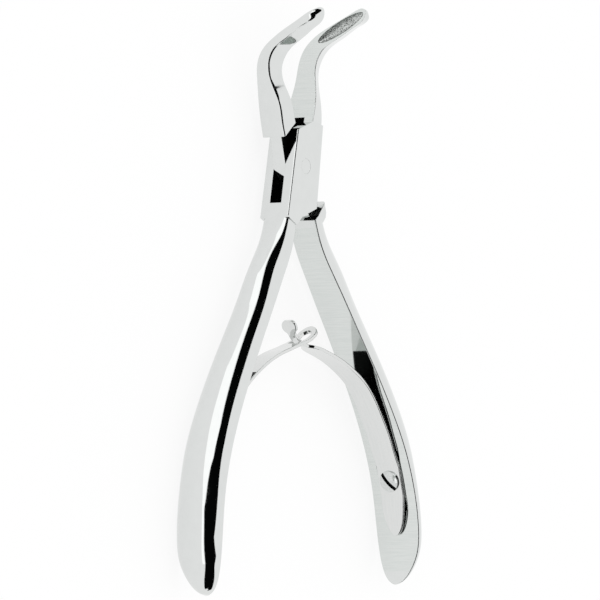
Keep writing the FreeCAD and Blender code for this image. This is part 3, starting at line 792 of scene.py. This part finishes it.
def screwPiece(name):
    # lathed about its own axis, head up, with its origin under the head
    wall = screw["headHeight"] - screw["domeHeight"]
    radius, rim = screw["headRadius"], screw["rimRound"]
    end, shank = -screw["length"] - leaf["thickness"], screw["radius"]
    bevel, under = screw["shankBevel"], screw["underBevel"]
    profile = [(screw["leastRadius"], end), (shank - bevel, end), (shank, end + bevel), (shank, 0.0)]
    profile += [(radius - under, 0.0), (radius, under)]
    for step in range(5):
        turn = math.radians(80 * step / 4)
        profile.append((radius - rim + rim * math.cos(turn), wall - rim + rim * math.sin(turn)))
    for step in range(screw["domeSteps"]):
        share = 1 - (step + 1) / screw["domeSteps"]
        spread = max(screw["leastRadius"], (radius - rim) * share)
        profile.append((spread, wall + screw["domeHeight"] * (1 - share ** 2)))
    rings = []
    turns = [2 * math.pi * step / screw["steps"] for step in range(screw["steps"])]
    for spread, height in profile:
        rings.append([(spread * math.cos(turn), spread * math.sin(turn), height) for turn in turns])
    piece = skin(name, rings, turnedScrewStainless)
    half, depth = screw["slotWidth"] / 2, screw["headHeight"] - screw["slotDepth"]
    # the slot's cut faces are painted near black, as shade
    slot = prism("screwSlot", [(-5, -half), (5, -half), (5, half), (-5, half)], depth, 3, paintedShadeSteel)
    slot.data.transform(Matrix.Rotation(math.radians(screw["slotTurn"]), 4, "Z"))
    combine(piece, slot, "DIFFERENCE")
    piece.data.transform(Matrix.Rotation(math.radians(-90), 4, "X"))
    return piece


# pieces

def openTo(piece, side):
    piece.data.transform(Matrix.Rotation(math.radians(side * halfOpening), 4, "Z"))


def grindInnerFaces(piece):
    # the flat faces that look at the meeting plane are ground, not buffed
    materials = piece.data.materials
    if crossGroundStainless.name not in [material.name for material in materials]:
        materials.append(crossGroundStainless)
    ground = [material.name for material in materials].index(crossGroundStainless.name)
    buffed = [material.name for material in materials].index(mirrorBuffedStainless.name)
    for face in piece.data.polygons:
        towardMeeting = -face.normal.y * math.copysign(1, face.center.y)
        beyondLock = not topInner[0] * mm > face.center.x > (rootEnd - 1) * mm
        if face.material_index == buffed and towardMeeting > faceOn and beyondLock:
            face.material_index = ground


def finishHalf(piece, side, body, node):
    grindInnerFaces(piece)
    shade(piece, 34)
    openTo(piece, side)
    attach(piece, body)
    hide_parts(node)


boxHalf = boxBlank()
combine(boxHalf, mirrored(handlePiece("boxHandle")), "UNION")
boxJaw = mirrored(jawPiece("boxJaw", *lock["boxJawRoot"]))
jawStart = topInner[0] - lock["jawRootInset"]
jawBack = jawStart - farAway
behind = [(jawStart, -farAway), (jawStart, farAway), (jawBack, farAway), (jawBack, -farAway)]
combine(boxJaw, prism("behindJaw", behind, -farAway, farAway, mirrorBuffedStainless), "DIFFERENCE")
combine(boxHalf, boxJaw, "UNION")
combine(boxHalf, slotTool(), "DIFFERENCE")
combine(boxHalf, flareTool(), "DIFFERENCE")
# the bore's cut faces are painted near black, as shade
pinBore = rod("pinBore", lock["pinRadius"], (0, 0, -1), (0, 0, 1), boxThickness + 2, paintedShadeSteel)
combine(boxHalf, pinBore, "DIFFERENCE")
combine(boxHalf, mirrored(seatTool()), "DIFFERENCE")
finishHalf(boxHalf, -1, "box_half", "box_half")
print("box half made")

crossHalf = neckPiece("crossHalfForging")
crossJaw = jawPiece("crossJaw", *lock["crossJawRoot"])
combine(crossJaw, shoulderTool(topLeft, lock["cheekSlope"]), "DIFFERENCE")
crossHandle = handlePiece("crossHandle")
combine(crossHandle, crossRoot(), "UNION")
combine(crossHandle, shoulderTool(bottomRight, 180 + lock["cheekSlope"] + lock["shoulderTurn"]), "DIFFERENCE")
combine(crossHalf, crossJaw, "UNION")
combine(crossHalf, crossHandle, "UNION")
combine(crossHalf, seatTool(), "DIFFERENCE")
finishHalf(crossHalf, 1, "cross_half", "cross_half")
print("cross half made")

pin = rod("pivotPinGround", lock["pinRadius"], (0, 0, 0), (0, 0, 1), boxThickness, mirrorBuffedStainless, 96)
roundLines(pin, lambda edge: abs(edge.verts[0].co.z - edge.verts[1].co.z) < 1e-6, lock["pinRound"], 2)
shade(pin, 34)
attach(pin, "box_half")
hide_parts("pivot_pin")

leaves = ((eyeLeaf, 1, "box_half", "eye_leaf"), (hookLeaf, -1, "cross_half", "hook_leaf"))
for makeLeaf, side, half, node in leaves:
    strip = makeLeaf()
    shade(strip, 40)
    openTo(strip, -side)
    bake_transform(strip)
    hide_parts(node)
    head = screwPiece(node + "_screw_turned")
    seat = opened((leaf["seatPlace"], side * (leaf["seatOffset"] - leaf["thickness"])), -side * halfOpening)
    if side > 0:
        mirrored(head)
    shade(head, 34)
    head.location = (seat[0] * mm, seat[1] * mm, middle * mm)
    head.rotation_euler = (0, 0, math.radians(-side * halfOpening))
    bpy.context.view_layer.update()
    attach(head, half)
    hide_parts(node + "_screw")
print("springs and screws made")


# studio

studio = {
    "floorColour": "#ffffff", "floorGlow": 0.85, "floorReach": 14.0,
    "worldColour": "#ffffff",
    "cardDistance": 6.0,      # metres to the cards, which only polished steel sees
    "cardSteps": 8,
    "cardBlack": "#060707", "cardBlackStrength": 1.0, "cardLight": "#ffffff", "cardLightStrength": 1.34,
    # how far along the tool each strip is, from -1 to 1, and its lower and upper angle in degrees,
    # from the side of the left handle up and over the tool
    "blackCard": [(-0.99, 0, 178), (-0.93, 0, 150), (-0.8, 5, 100), (-0.6, 15, 78), (-0.5, 17, 78),
                  (-0.3, 16, 84), (0.0, 13, 64), (0.2, 11, 84), (0.3, 28, 100), (0.4, 52, 108),
                  (0.55, 70, 110), (0.8, 72, 108), (0.9, 40, 130), (0.94, 0, 178), (0.99, 0, 178)],
    "lightCard": [(-0.5, 4, 15), (0.0, 3, 11), (0.2, 2, 9), (0.3, 4, 26), (0.4, 8, 50), (0.55, 12, 67),
                  (0.85, 12, 67)],
}


def glowMaterial(name, code, strength):
    material, tree = newTree(name)
    glow = addNode(tree, "Emission", {"Color": linear(code), "Strength": strength})
    addNode(tree, "OutputMaterial", {}, {"Surface": glow.outputs[0]})
    return material


def cardPiece(name, spans, material):
    points = []
    faces = []
    steps = studio["cardSteps"]
    for along, low, high in spans:
        ring = math.sqrt(1 - along ** 2)
        for step in range(steps + 1):
            turn = math.radians(low + (high - low) * step / steps)
            spot = Vector((along, ring * math.cos(turn), ring * math.sin(turn)))
            points.append(spot * studio["cardDistance"] / mm)
    for row in range(len(spans) - 1):
        for step in range(steps):
            first = row * (steps + 1) + step
            above = first + steps + 1
            faces.append((first, first + 1, above + 1, above))
    card = newPiece(name, points, faces, material)
    card.visible_camera = False
    card.visible_diffuse = False
    card.visible_transmission = False
    card.visible_shadow = False


# white paper sweep: plain white, and partly lit by itself in the camera and in the steel, so that
# it stays white but keeps the tool's shadow
floorPaper, tree = newTree("whitePaperSweep")
path = addNode(tree, "LightPath")
seen = addNode(tree, "Math", {"operation": "MAXIMUM"},
               {0: path.outputs["Is Camera Ray"], 1: path.outputs["Is Glossy Ray"]})
share = addNode(tree, "Math", {"operation": "MULTIPLY", 1: studio["floorGlow"]}, {0: seen.outputs[0]})
paper = addNode(tree, "BsdfDiffuse", {"Color": linear(studio["floorColour"])})
glow = addNode(tree, "Emission", {"Color": linear(studio["floorColour"]), "Strength": 1.0})
both = addNode(tree, "MixShader", {}, {0: share.outputs[0], 1: paper.outputs[0], 2: glow.outputs[0]})
addNode(tree, "OutputMaterial", {}, {"Surface": both.outputs[0]})
reach = studio["floorReach"] / mm
lowest = cadBounds[0][2] / mm
floor = newPiece("floor", [(-reach, -reach, lowest), (reach, -reach, lowest), (reach, reach, lowest),
                           (-reach, reach, lowest)], [(0, 1, 2, 3)], floorPaper)

cardPiece("blackCard", studio["blackCard"],
          glowMaterial("blackCardboard", studio["cardBlack"], studio["cardBlackStrength"]))
cardPiece("lightCard", studio["lightCard"],
          glowMaterial("litPaper", studio["cardLight"], studio["cardLightStrength"]))

world = bpy.data.worlds.new("whiteStudio")
world.use_nodes = True
bpy.context.scene.world = world
world.node_tree.nodes["Background"].inputs["Color"].default_value = linear(studio["worldColour"])
world.node_tree.nodes["Background"].inputs["Strength"].default_value = 1.0
bpy.context.scene.view_settings.view_transform = "Standard"

shot = {
    "back": (-0.0107, 0.8093, 0.5873), "right": (-0.0257, -0.5874, 0.8089), "up": (0.9996, -0.0064, 0.0271),
    "target": (-34.68, -1.06, 5.43), "distance": 2145.0, "angle": 4.165,
}
lens = bpy.data.cameras.new("camera")
lens.sensor_fit = "HORIZONTAL"
lens.angle = math.radians(shot["angle"])
camera = bpy.data.objects.new("camera", lens)
bpy.context.scene.collection.objects.link(camera)
axes = Matrix((shot["right"], shot["up"], shot["back"])).transposed().to_4x4()
position = (Vector(shot["target"]) + Vector(shot["back"]) * shot["distance"]) * mm
camera.matrix_world = Matrix.Translation(position) @ axes
bpy.context.scene.camera = camera
print("studio made")
